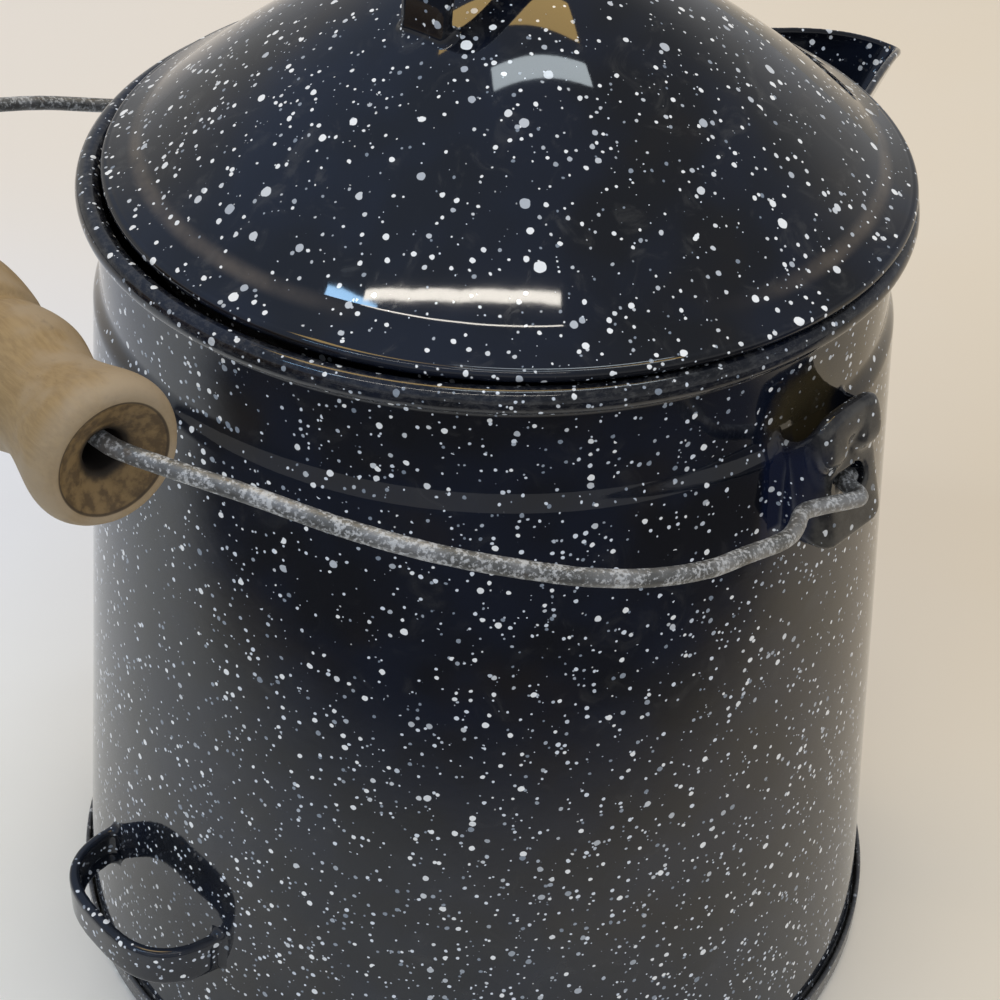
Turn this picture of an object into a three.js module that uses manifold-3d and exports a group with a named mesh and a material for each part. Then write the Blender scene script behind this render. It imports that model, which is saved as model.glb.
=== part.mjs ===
import * as THREE from "three";
import { mergeVertices } from "three/addons/utils/BufferGeometryUtils.js";
import Module from "manifold-3d";

const wasm = await Module();
wasm.setup();

// Enamelled coffee pot with a bail. Millimetres, +Z up, +X towards the spout.
// The origin is the centre of the flat bottom, and the bail turns about a line along Y.

// Sheet and fits
const SHEET = 1.2;
const SEAT_GAP = 0.3;
const CUT_MARGIN = 5;

// Faces round each form
const BODY_FACETS = 48;
const GRIP_FACETS = 24;
const WIRE_FACETS = 8;
const HOLE_FACETS = 8;
const ROLL_STEPS = 12;
const CORNER_STEPS = 4;
const STRAP_STEPS = 16;
const DOME_STEPS = 9;
const GRIP_STEPS = 22;
const LEG_STEPS = 28;
const BEND_STEPS = 4;
const SPOUT_LEVELS = 9;
const SPOUT_SIDE_STEPS = 7;
const SPOUT_STEP_POWER = 1.5;

// Body: a rolled rim, a straight neck, a small shoulder, then a wall that widens to the base
const RIM_Z = 216;
const RIM_ROLL_R = 2.9;
const RIM_SETBACK = 1;
const NECK_R = 92.1;
const NECK_LENGTH = 22;
const SHOULDER_LENGTH = 7;
const SHOULDER_STEP = 2.1;
const BASE_WALL_R = 108.7;

// Bottom: a flat disc whose edge is turned up outside the wall
const SEAM_HEIGHT = 7.2;
const SEAM_CORNER_R = 1.6;

// Spout: a folded lip that grows from a point on the wall, over a strainer of punched holes
const SPOUT_REACH = 47.7;
const SPOUT_SINK = 8.1;
const SPOUT_TOP_Z = 213;
const SPOUT_START_Z = 137.4;
const SPOUT_HALF_WIDTH = 31.8;
const SPOUT_NOSE_R = 2.4;
const SPOUT_FLANGE = 3.4;
const SPOUT_HEM_R = 1.1;
const SPOUT_DROOP = 7.5;
const SPOUT_DROOP_POWER = 4;
const SPOUT_START_SHARE = 0.05;
const SPOUT_WIDTH_POWER = 0.72;
const SPOUT_REACH_POWER = 0.86;
const SPOUT_SIDE_POWER = 1.05;
const STRAINER_TOP_Z = 202;
const STRAINER_PITCH = 8;
const STRAINER_HOLE_R = 2.3;
const STRAINER_ROWS = [5, 4, 3, 2, 1];

// Ears: pressed brackets with an open pocket, a slot for the wire and two lobes rolled over the top.
// They stand nearer the spout than the centre, and their faces lean in towards the neck.
const PIVOT_X = 12.2;
const PIVOT_Z = 180.5;
const EAR_DEPTH = 10.3;
const EAR_LEAN_DEGREES = 15;
const EAR_FACE_WIDTH = 22;
const EAR_ROOT_WIDTH = 26;
const EAR_FLANGE = 4;
const EAR_RISE = 18;
const EAR_DROP = 11.5;
const EAR_CORNER_R = 6;
const LOBE_ROLL_R = 1.2;
const LOBE_DROP = 9.8;
const LOBE_CORNER_R = 3.4;
const LOBE_NOTCH_WIDTH = 4;
const SLOT_WIDTH = 12;
const SLOT_HEIGHT = 7;

// Tilt handle: a channel strap that stands out level from the wall, opposite the spout
const STRAP_SHEET = 1.3;
const STRAP_EDGE = 2.8;
const STRAP_FULLNESS = 2.75;
const TILT_Z = 44;
const TILT_WIDTH = 11;
const TILT_REACH = 19.6;
const TILT_HALF_SPAN = 24.7;
const TILT_TAB = 6;
const TILT_CORNER_R = 2.5;

// Bail: steel wire hooked into the ears, standing out over the tilt handle
const WIRE_R = 1.85;
const BAIL_REST_ANGLE = THREE.MathUtils.degToRad(16.7);
const BAIL_REACH = 153.2;
const BAIL_BULGE = 11.8;
const BAIL_LEG_CLEARANCE = 3.7;
const BAIL_BEND_R = 3.3;
const HOOK_DEPTH = 4.9;
const HOOK_LENGTH = 5.4;

// Half the bail's outline from its lower bend to the grip, as shares of the way out and of the reach
const BAIL_OUTLINE_SHARES = [
  [0.845, 0.123],
  [0.861, 0.154],
  [0.899, 0.184],
  [0.934, 0.217],
  [0.958, 0.258],
  [0.974, 0.326],
  [0.997, 0.418],
  [0.982, 0.509],
  [0.938, 0.584],
  [0.874, 0.646],
  [0.736, 0.744],
  [0.561, 0.826],
  [0.349, 0.897],
  [0.171, 0.96],
  [0.072, 0.992],
  [0, 1],
];

// Grip: a turned wooden handle that hangs loose on the wire, its half profile in shares of its size
const GRIP_LENGTH = 100;
const GRIP_R = 16;
const GRIP_BORE_R = 4.1;
const GRIP_DISH_R = 9;
const GRIP_DISH_DEPTH = 6;
const GRIP_PROFILE_SHARES = [
  [0, 0.76],
  [0.26, 0.875],
  [0.58, 0.74],
  [0.9, 1],
  [1, 0.86],
];

// Lid: a high dome with a sloping flange and a rolled edge, set down a little off centre
const LID_EDGE_INSET = 0.5;
const LID_ROLL_R = 1.4;
const LID_FLANGE_WIDTH = 8.4;
const LID_FLANGE_RISE = 5.6;
const LID_FILLET = 0.8;
const LID_FILLET_WIDTH = 1.4;
const LID_DOME_RISE = 43.4;
const LID_DOME_POWER = 1.85;
const LID_SHIFT = 2.6;
const LID_SHIFT_AZIMUTH = THREE.MathUtils.degToRad(-37);

// Lid collar: the ring under the lid that keeps it in the mouth
const COLLAR_CLEARANCE = 4.8;
const COLLAR_DROP = 7.5;
const COLLAR_LIP = 2.6;

// Lid handle: a channel strap bent to an arch
const KNOB_HALF_SPAN = 33;
const KNOB_RISE = 27.6;
const KNOB_SINK = 12;
const KNOB_LEAN = 1.5;
const KNOB_WIDTH = 12.5;
const KNOB_TAB = 6;
const KNOB_CORNER_R = 3;
const KNOB_TURN_DEGREES = 11.5;

// Finishes of the pieces
const ENAMEL = { color: 0x12141d, roughness: 0.16, metalness: 0 };
const WIRE_STEEL = { color: 0x85878a, roughness: 0.5, metalness: 0.85 };
const WORN_WOOD = { color: 0xa88458, roughness: 0.62, metalness: 0 };

// Sizes that follow from the ones above
const rimCentreR = NECK_R + RIM_SETBACK;
const shoulderTopZ = RIM_Z - NECK_LENGTH;
const shoulderBaseZ = shoulderTopZ - SHOULDER_LENGTH;
const shoulderR = NECK_R + SHOULDER_STEP;
const wallFootZ = SHEET + SEAT_GAP;
const spoutRootR = NECK_R - SPOUT_SINK;
const spoutReach = SPOUT_REACH + SPOUT_SINK;
const earFaceR = shoulderR + EAR_DEPTH;
const earFaceHalf = EAR_FACE_WIDTH / 2;
const earRootHalf = EAR_ROOT_WIDTH / 2;
const earTopZ = PIVOT_Z + EAR_RISE;
const earFootZ = PIVOT_Z - EAR_DROP;
const earAzimuthDegrees = THREE.MathUtils.radToDeg(Math.acos(PIVOT_X / earFaceR));
const slotLowZ = PIVOT_Z - WIRE_R - SEAT_GAP;
const bailLegR = earFaceR + BAIL_LEG_CLEARANCE;
const hookR = earFaceR - HOOK_DEPTH;
const bailStraightHalf = GRIP_LENGTH / 2 - GRIP_DISH_DEPTH;
const gripDrop = GRIP_BORE_R - WIRE_R - SEAT_GAP;
const tiltWallR = THREE.MathUtils.mapLinear(TILT_Z, wallFootZ, shoulderBaseZ, BASE_WALL_R, shoulderR);
const tiltRootR = tiltWallR - CUT_MARGIN;
const lidEdgeR = rimCentreR - LID_EDGE_INSET;
const lidFlangeR = lidEdgeR - LID_FLANGE_WIDTH;
const lidDomeR = lidFlangeR - LID_FILLET_WIDTH;
const collarR = rimCentreR - RIM_ROLL_R - COLLAR_CLEARANCE;
const lidRollZ = RIM_Z + RIM_ROLL_R + SEAT_GAP + LID_ROLL_R;
const lidFlangeZ = lidRollZ + LID_FLANGE_RISE;
const lidDomeZ = lidFlangeZ + LID_FILLET;
const lidTopZ = lidDomeZ + LID_DOME_RISE;

// Directions for pieces drawn in an upright plane: an outline's x and y become Y and Z, its depth X
const outward = new THREE.Matrix4().makeBasis(
  new THREE.Vector3(0, 1, 0),
  new THREE.Vector3(0, 0, 1),
  new THREE.Vector3(1, 0, 0),
);

// Solids: a closed geometry becomes a solid for joining and cutting, and goes back to a geometry
function solidOf(geometry) {
  const bare = geometry.clone();
  bare.deleteAttribute("normal");
  bare.deleteAttribute("uv");
  const merged = mergeVertices(bare);
  return new wasm.Manifold(
    new wasm.Mesh({
      numProp: 3,
      vertProperties: new Float32Array(merged.attributes.position.array),
      triVerts: new Uint32Array(merged.index.array),
    }),
  );
}

function geometryOf(solid) {
  const mesh = solid.getMesh();
  const geometry = new THREE.BufferGeometry();
  const positions = new Float32Array(mesh.vertProperties);
  geometry.setAttribute("position", new THREE.BufferAttribute(positions, mesh.numProp));
  geometry.setIndex(new THREE.BufferAttribute(new Uint32Array(mesh.triVerts), 1));
  geometry.computeVertexNormals();
  return geometry;
}

const joined = (solids) => solids.reduce((whole, solid) => whole.add(solid));

// Points of an arc about a centre, from one angle to another
function arcPoints(x, y, radius, from, to, steps) {
  return Array.from({ length: steps + 1 }, (_, i) => {
    const angle = THREE.MathUtils.lerp(from, to, i / steps);
    return [x + radius * Math.cos(angle), y + radius * Math.sin(angle)];
  });
}

// A rectangle from one height to another, with its four corners rounded
function roundedOutline(centre, halfWidth, low, high, corner) {
  const right = centre + halfWidth - corner;
  const left = centre - halfWidth + corner;
  const quarter = Math.PI / 2;
  return [
    ...arcPoints(right, high - corner, corner, 0, quarter, CORNER_STEPS),
    ...arcPoints(left, high - corner, corner, quarter, 2 * quarter, CORNER_STEPS),
    ...arcPoints(left, low + corner, corner, 2 * quarter, 3 * quarter, CORNER_STEPS),
    ...arcPoints(right, low + corner, corner, 3 * quarter, 4 * quarter, CORNER_STEPS),
  ];
}

// A line of points moved sideways by a distance, to its left as it runs
function offsetLine(points, distance) {
  return points.map(([x, y], i) => {
    const [ax, ay] = points[Math.max(0, i - 1)];
    const [bx, by] = points[Math.min(points.length - 1, i + 1)];
    const length = Math.hypot(bx - ax, by - ay);
    return [x - (distance * (by - ay)) / length, y + (distance * (bx - ax)) / length];
  });
}

// The closed outline of a strip of sheet that lies along the left side of a line
const stripOutline = (line, thickness) => [...line, ...offsetLine(line, thickness).reverse()];

// A closed profile of [radius, height] pairs, in anticlockwise order, turned about the Z direction
function turned(profile, facets) {
  const [firstR] = profile[0];
  const [lastR] = profile[profile.length - 1];
  const closed = firstR === 0 && lastR === 0 ? profile : [...profile, profile[0]];
  const points = closed.map(([r, z]) => new THREE.Vector2(r, z));
  return solidOf(new THREE.LatheGeometry(points, facets).rotateX(Math.PI / 2));
}

// An outline of [x, y] pairs raised along Z from one height to another
function raised(outline, low, high) {
  const shape = new THREE.Shape(outline.map(([x, y]) => new THREE.Vector2(x, y)));
  const geometry = new THREE.ExtrudeGeometry(shape, { depth: high - low, bevelEnabled: false });
  return geometry.translate(0, 0, low);
}

// A skin that runs through a row of like rings, with its ends closed by the first ring's outline
function lofted(rings, endOutline) {
  const count = endOutline.length;
  const faces = THREE.ShapeUtils.triangulateShape(endOutline, []);
  const last = (rings.length - 1) * count;
  const index = faces.flatMap(([a, b, c]) => [a, c, b, last + a, last + b, last + c]);
  for (let start = 0; start < last; start += count) {
    for (let i = 0; i < count; i += 1) {
      const a = start + i;
      const b = start + ((i + 1) % count);
      index.push(a, b, b + count, a, b + count, a + count);
    }
  }
  const geometry = new THREE.BufferGeometry().setFromPoints(rings.flat());
  geometry.setIndex(index);
  return solidOf(geometry);
}

// The outside of the body as a line from its foot up and over the rim, grown outwards by a distance
function bodyOutside(grow) {
  const roll = arcPoints(rimCentreR, RIM_Z, RIM_ROLL_R + grow, -Math.PI / 2, Math.PI, ROLL_STEPS);
  const [underRollR, underRollZ] = roll[0];
  return [
    [BASE_WALL_R + grow, wallFootZ],
    [shoulderR + grow, shoulderBaseZ],
    [shoulderR + grow - SHOULDER_STEP / 2, (shoulderBaseZ + shoulderTopZ) / 2],
    [NECK_R + grow, shoulderTopZ],
    [Math.min(NECK_R + grow, underRollR - SEAT_GAP), underRollZ],
    ...roll,
  ];
}

// The space that the body fills, grown by a distance, for seating pieces against the wall
const bodySpace = (grow) =>
  turned([[0, wallFootZ], ...bodyOutside(grow), [0, RIM_Z]], BODY_FACETS);

const seatSpace = bodySpace(SEAT_GAP);
const wallSkin = bodySpace(SEAT_GAP + SHEET).subtract(seatSpace);

// Body shell, with the strainer holes behind the spout
function bodyShell() {
  const inside = [
    [NECK_R - SHEET, RIM_Z],
    [NECK_R - SHEET, shoulderTopZ],
    [shoulderR - SHEET, shoulderBaseZ],
    [BASE_WALL_R - SHEET, wallFootZ],
  ];
  const holes = STRAINER_ROWS.flatMap((count, row) =>
    Array.from({ length: count }, (_, i) => {
      const across = (i - (count - 1) / 2) * STRAINER_PITCH;
      const height = 2 * CUT_MARGIN;
      const hole = new THREE.CylinderGeometry(STRAINER_HOLE_R, STRAINER_HOLE_R, height, HOLE_FACETS);
      hole.rotateZ(Math.PI / 2).translate(shoulderR, 0, STRAINER_TOP_Z - row * STRAINER_PITCH);
      return solidOf(hole.rotateZ(across / shoulderR));
    }),
  );
  return turned([...bodyOutside(0), ...inside], BODY_FACETS).subtract(joined(holes));
}

// Bottom, with its edge turned up round the foot of the wall
function bottomPan() {
  const innerR = BASE_WALL_R + SEAT_GAP;
  const outerR = innerR + SHEET;
  const heel = outerR - SEAM_CORNER_R;
  const edgeR = SHEET / 2;
  const profile = [
    [0, 0],
    ...arcPoints(heel, SEAM_CORNER_R, SEAM_CORNER_R, -Math.PI / 2, 0, CORNER_STEPS),
    ...arcPoints(outerR - edgeR, SEAM_HEIGHT - edgeR, edgeR, 0, Math.PI, CORNER_STEPS),
    [innerR, SHEET],
    [0, SHEET],
  ];
  return turned(profile, BODY_FACETS);
}

// One level of the spout: a folded nose with slightly full sides, set in by a distance
function spoutSection(share, inset) {
  const fullWidth = SPOUT_HALF_WIDTH * Math.pow(share, SPOUT_WIDTH_POWER);
  const fullReach = spoutReach * Math.pow(share, SPOUT_REACH_POWER);
  const slant = Math.hypot(fullWidth, fullReach);
  const width = fullWidth - (inset * slant) / fullReach;
  const reach = fullReach - (inset * slant) / fullWidth;
  const nose = SPOUT_NOSE_R / SPOUT_HALF_WIDTH;
  const nosed = (t) => (Math.hypot(t, nose) - nose) / (Math.hypot(1, nose) - nose);
  return Array.from({ length: 2 * SPOUT_SIDE_STEPS + 1 }, (_, i) => {
    const even = i / SPOUT_SIDE_STEPS - 1;
    const across = Math.sign(even) * Math.pow(Math.abs(even), SPOUT_STEP_POWER);
    return [spoutRootR + reach * (1 - Math.pow(nosed(across), SPOUT_SIDE_POWER)), width * across];
  });
}

// How far the lip has sunk at a distance from the pot's axis
const spoutDroop = (x) => SPOUT_DROOP * Math.pow((x - spoutRootR) / spoutReach, SPOUT_DROOP_POWER);

// The space inside the spout's outline, set in by a distance and carried on above its top
function spoutSpace(inset, above) {
  const levels = Array.from({ length: SPOUT_LEVELS + 1 }, (_, i) => {
    const share = THREE.MathUtils.lerp(SPOUT_START_SHARE, 1, i / SPOUT_LEVELS);
    return [share, THREE.MathUtils.lerp(SPOUT_START_Z, SPOUT_TOP_Z, share)];
  });
  const stack = above > 0 ? [...levels, [1, SPOUT_TOP_Z + above]] : levels;
  const rings = stack.map(([share, z]) =>
    spoutSection(share, inset).map(([x, y]) => new THREE.Vector3(x, y, z - spoutDroop(x))),
  );
  return lofted(rings, rings[0].map((point) => new THREE.Vector2(point.x, point.y)));
}

// Spout: the folded sheet with a hemmed top edge and narrow flanges against the wall
function spout() {
  const hollow = spoutSpace(SHEET, CUT_MARGIN);
  const edge = spoutSection(1, SHEET / 2).map(
    ([x, y]) => new THREE.Vector3(x, y, SPOUT_TOP_Z - spoutDroop(x)),
  );
  const circle = new THREE.EllipseCurve(0, 0, SPOUT_HEM_R, SPOUT_HEM_R);
  const round = new THREE.Shape(circle.getPoints(WIRE_FACETS));
  const hem = new THREE.ExtrudeGeometry(round, {
    steps: 2 * SPOUT_SIDE_STEPS,
    extrudePath: new THREE.CatmullRomCurve3(edge),
  });
  const flange = spoutSpace(-SPOUT_FLANGE, 0).intersect(wallSkin);
  const sheet = spoutSpace(0, 0).subtract(seatSpace).add(flange).subtract(hollow);
  return sheet.add(solidOf(hem).subtract(seatSpace));
}

// The space under an ear's face and webs, set in by a distance
function earSpace(inset, low, high) {
  const root = earRootHalf - inset;
  const face = earFaceHalf - inset;
  const behind = shoulderR - 2 * CUT_MARGIN;
  const plan = [
    [behind, -root],
    [shoulderR, -root],
    [earFaceR - inset, -face],
    [earFaceR - inset, face],
    [shoulderR, root],
    [behind, root],
  ];
  return solidOf(raised(plan, low, high));
}

// An outline of the ear's front view, carried outwards through the wall and the face
function earFront(centre, halfWidth, low, high, corner) {
  const outline = roundedOutline(centre, halfWidth, low, high, corner);
  const behind = shoulderR - 2 * CUT_MARGIN;
  return solidOf(raised(outline, behind, earFaceR + 2 * CUT_MARGIN).applyMatrix4(outward));
}

// A solid of the ear tipped in towards the neck about the wire's height on its face
const leaned = (solid) =>
  solid
    .translate([-earFaceR, 0, -PIVOT_Z])
    .rotate([0, -EAR_LEAN_DEGREES, 0])
    .translate([earFaceR, 0, PIVOT_Z]);

// Ear: face and webs, flanges against the wall, and two lobes rolled outwards over the top edge
function ear() {
  const pocket = leaned(earSpace(SHEET, earFootZ - 2 * CUT_MARGIN, earTopZ + CUT_MARGIN));
  const front = earFront(0, earRootHalf, earFootZ, earTopZ, EAR_CORNER_R);
  const hat = leaned(earSpace(0, earFootZ, earTopZ + CUT_MARGIN).intersect(front));
  const flange = earFront(0, earRootHalf + EAR_FLANGE, earFootZ, earTopZ, EAR_CORNER_R).intersect(wallSkin);
  const rollX = earFaceR + LOBE_ROLL_R;
  const rollLine = [
    [earFaceR, earTopZ - EAR_CORNER_R],
    ...arcPoints(rollX, earTopZ, LOBE_ROLL_R, Math.PI, 0, ROLL_STEPS),
    [rollX + LOBE_ROLL_R, earTopZ - LOBE_DROP],
  ];
  const roll = solidOf(
    raised(stripOutline(rollLine, SHEET), -earFaceHalf, earFaceHalf).rotateX(Math.PI / 2),
  );
  const lobeHalf = (EAR_FACE_WIDTH - LOBE_NOTCH_WIDTH) / 4;
  const lobes = [-1, 1].map((side) => {
    const centre = side * (earFaceHalf - lobeHalf);
    return earFront(centre, lobeHalf, earTopZ - LOBE_DROP, earTopZ + 2 * CUT_MARGIN, LOBE_CORNER_R);
  });
  const slot = leaned(earFront(0, SLOT_WIDTH / 2, slotLowZ, slotLowZ + SLOT_HEIGHT, SLOT_HEIGHT / 2));
  const bracket = hat.subtract(seatSpace).add(flange).subtract(pocket).subtract(slot.subtract(seatSpace));
  return bracket.add(leaned(roll.intersect(joined(lobes))));
}

// The outer line of a handle's strap, from foot to foot, as [out from the root, along the root] pairs
function strapLine(halfSpan, rise) {
  const rounded = (value) => Math.sign(value) * Math.pow(Math.abs(value), 2 / STRAP_FULLNESS);
  return arcPoints(0, 0, 1, -Math.PI / 2, Math.PI / 2, STRAP_STEPS).map(([out, along]) => [
    rise * rounded(Math.max(0, out)),
    halfSpan * rounded(along),
  ]);
}

// A channel strap: sheet bent along a line, both of its long edges turned inwards
function channelStrap(line, width) {
  const low = -width / 2;
  const high = width / 2;
  const edge = stripOutline(line, STRAP_EDGE);
  return joined([
    solidOf(raised(stripOutline(line, STRAP_SHEET), low, high)),
    solidOf(raised(edge, low, low + STRAP_SHEET)),
    solidOf(raised(edge, high - STRAP_SHEET, high)),
  ]);
}

// Tilt handle with a tab turned in against the wall at each foot
function tiltHandle() {
  const reach = TILT_REACH + CUT_MARGIN;
  const line = strapLine(TILT_HALF_SPAN, reach).map(([out, along]) => [tiltRootR + out, along]);
  const strap = channelStrap(line, TILT_WIDTH).translate([0, 0, TILT_Z]);
  const low = TILT_Z - TILT_WIDTH / 2;
  const high = TILT_Z + TILT_WIDTH / 2;
  const inner = TILT_HALF_SPAN - STRAP_SHEET - TILT_TAB;
  const tabs = roundedOutline(0, TILT_HALF_SPAN, low, high, SHEET);
  const between = roundedOutline(0, inner, low - CUT_MARGIN, high + CUT_MARGIN, TILT_CORNER_R);
  const near = tiltRootR - 2 * CUT_MARGIN;
  const [tabSpace, betweenSpace] = [tabs, between].map((outline) =>
    solidOf(raised(outline, near, tiltWallR + TILT_REACH).applyMatrix4(outward)),
  );
  const feet = tabSpace.intersect(wallSkin).subtract(betweenSpace);
  return strap.subtract(seatSpace).add(feet).rotate([0, 0, 180]);
}

// Half of the bail's centre line as [across, up] pairs: hook, two tight bends, leg and shoulder
function bailHalfLine() {
  const way = bailLegR + BAIL_BULGE - bailStraightHalf;
  const knots = [
    [bailLegR, BAIL_BEND_R],
    ...BAIL_OUTLINE_SHARES.map(([out, up]) => [bailStraightHalf + out * way, up * BAIL_REACH]),
  ];
  const leg = new THREE.SplineCurve(knots.map(([across, up]) => new THREE.Vector2(across, up)));
  const quarter = Math.PI / 2;
  const hookX = hookR + BAIL_BEND_R;
  const legX = bailLegR - BAIL_BEND_R;
  const hookBend = arcPoints(hookX, -BAIL_BEND_R, BAIL_BEND_R, 2 * quarter, quarter, BEND_STEPS);
  const legBend = arcPoints(legX, BAIL_BEND_R, BAIL_BEND_R, -quarter, 0, BEND_STEPS);
  return [
    [hookR, -HOOK_LENGTH],
    ...hookBend,
    ...legBend,
    ...leg.getSpacedPoints(LEG_STEPS).slice(1).map((point) => [point.x, point.y]),
  ];
}

// Bail: a round wire along the mirrored centre line, tipped to its rest angle
function bailWire() {
  const half = bailHalfLine();
  const line = [...half, ...half.map(([across, up]) => [-across, up]).reverse()];
  const sides = [offsetLine(line, WIRE_R), line];
  const circle = arcPoints(0, 0, 1, 0, 2 * Math.PI, WIRE_FACETS).slice(1);
  const rings = line.map(([across, up], i) => {
    const [sideX, sideY] = sides[0][i];
    return circle.map(([a, b]) => {
      const x = across + (sideX - across) * a;
      return new THREE.Vector3(WIRE_R * b, x, up + (sideY - up) * a);
    });
  });
  const wire = lofted(rings, circle.map(([a, b]) => new THREE.Vector2(a, b)));
  const tip = THREE.MathUtils.radToDeg(Math.PI / 2 - BAIL_REST_ANGLE);
  return wire.rotate([0, -tip, 0]).translate([PIVOT_X, 0, PIVOT_Z]);
}

// Grip: turned wood with lobes for the fingers, bored through and dished at both ends
function bailGrip() {
  const half = GRIP_LENGTH / 2;
  const knots = GRIP_PROFILE_SHARES.map(([along, radius]) => [along * half, radius * GRIP_R]);
  const mirrored = knots.slice(1).map(([along, radius]) => [-along, radius]).reverse();
  const profile = [...mirrored, ...knots].map(([along, radius]) => new THREE.Vector2(radius, along));
  const curve = new THREE.SplineCurve(profile);
  const outside = curve.getSpacedPoints(GRIP_STEPS).map((point) => [point.x, point.y]);
  const inside = [
    [GRIP_DISH_R, half],
    [GRIP_BORE_R, half - GRIP_DISH_DEPTH],
    [GRIP_BORE_R, GRIP_DISH_DEPTH - half],
    [GRIP_DISH_R, -half],
  ];
  const along = PIVOT_X - BAIL_REACH * Math.cos(BAIL_REST_ANGLE);
  const up = PIVOT_Z + BAIL_REACH * Math.sin(BAIL_REST_ANGLE) - gripDrop;
  return turned([...outside, ...inside], GRIP_FACETS).rotate([90, 0, 0]).translate([along, 0, up]);
}

// The outer line of the lid in section, from the top of its rolled edge to the crown
function lidLine() {
  const dome = Array.from({ length: DOME_STEPS + 1 }, (_, i) => {
    const share = Math.cos(((Math.PI / 2) * i) / DOME_STEPS);
    const height = lidDomeZ + LID_DOME_RISE * (1 - Math.pow(share, LID_DOME_POWER));
    return i < DOME_STEPS ? [lidDomeR * share, height] : [0, lidTopZ];
  });
  return [[lidEdgeR - LID_ROLL_R, lidRollZ + LID_ROLL_R], [lidFlangeR, lidFlangeZ], ...dome];
}

// The lid's line set in by a distance, ending on the axis
function lidInside(inset) {
  const line = offsetLine(lidLine(), inset);
  return [...line.slice(0, -1), [0, lidTopZ - inset]];
}

// The space under the lid's line set in by a distance
function lidSpace(inset) {
  const line = lidInside(inset);
  const [edgeR] = line[0];
  return turned([[0, RIM_Z - 2 * CUT_MARGIN], [edgeR, RIM_Z - 2 * CUT_MARGIN], ...line], BODY_FACETS);
}

// Lid: flange and dome in one sheet, with the outer edge rolled
function lidShell() {
  const roll = arcPoints(lidEdgeR - LID_ROLL_R, lidRollZ, LID_ROLL_R, 0, 2 * Math.PI, ROLL_STEPS).slice(1);
  const sheet = turned([...lidLine().reverse(), ...lidInside(SHEET)].reverse(), BODY_FACETS);
  return sheet.add(turned(roll, BODY_FACETS));
}

// Collar: a ring that hangs into the mouth, its top edge turned out under the lid's flange
function lidCollar() {
  const low = RIM_Z - COLLAR_DROP;
  const ring = (outerR) => {
    const innerR = collarR - SHEET;
    return turned([[innerR, low], [outerR, low], [outerR, lidTopZ], [innerR, lidTopZ]], BODY_FACETS);
  };
  const under = lidSpace(SHEET + SEAT_GAP);
  const skin = under.subtract(lidSpace(2 * SHEET + SEAT_GAP));
  return ring(collarR).intersect(under).add(ring(collarR + COLLAR_LIP).intersect(skin));
}

// Lid handle: an arched strap with a tab turned in on the dome at each foot
function lidHandle() {
  const rise = KNOB_RISE + KNOB_SINK;
  const line = strapLine(KNOB_HALF_SPAN, rise).map(([out, along]) => {
    const lean = 1 - (KNOB_LEAN / KNOB_HALF_SPAN) * (out / rise);
    return [-along * lean, lidTopZ - KNOB_SINK + out];
  });
  const strap = channelStrap(line, KNOB_WIDTH).rotate([90, 0, 0]);
  const half = KNOB_WIDTH / 2;
  const past = half + CUT_MARGIN;
  const inner = KNOB_HALF_SPAN - STRAP_SHEET - KNOB_TAB;
  const tabs = roundedOutline(0, KNOB_HALF_SPAN, -half, half, SHEET);
  const between = roundedOutline(0, inner, -past, past, KNOB_CORNER_R);
  const [tabSpace, betweenSpace] = [tabs, between].map((outline) => solidOf(raised(outline, RIM_Z, lidTopZ)));
  const seat = lidSpace(-SEAT_GAP);
  const skin = lidSpace(-SEAT_GAP - SHEET).subtract(seat);
  return strap.subtract(seat).add(tabSpace.intersect(skin).subtract(betweenSpace));
}

// Assembly
const lidShift = [LID_SHIFT * Math.cos(LID_SHIFT_AZIMUTH), LID_SHIFT * Math.sin(LID_SHIFT_AZIMUTH), 0];
const oneEar = ear();

const pieces = [
  ["body_shell", bodyShell(), ENAMEL],
  ["bottom_pan", bottomPan(), ENAMEL],
  ["spout", spout(), ENAMEL],
  ["ear_near", oneEar.rotate([0, 0, -earAzimuthDegrees]), ENAMEL],
  ["ear_far", oneEar.rotate([0, 0, earAzimuthDegrees]), ENAMEL],
  ["tilt_handle", tiltHandle(), ENAMEL],
  ["bail_wire", bailWire(), WIRE_STEEL],
  ["bail_grip", bailGrip(), WORN_WOOD],
  ["lid_shell", lidShell().translate(lidShift), ENAMEL],
  ["lid_collar", lidCollar().translate(lidShift), ENAMEL],
  ["lid_handle", lidHandle().rotate([0, 0, KNOB_TURN_DEGREES]).translate(lidShift), ENAMEL],
];

const pot = new THREE.Group();
pot.name = "enamel_coffee_pot";
for (const [name, solid, finish] of pieces) {
  const mesh = new THREE.Mesh(geometryOf(solid), new THREE.MeshStandardMaterial(finish));
  mesh.name = name;
  pot.add(mesh);
}

export default pot;
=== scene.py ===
import math

import bmesh
import bpy
from mathutils import Matrix, Vector, noise


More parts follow.
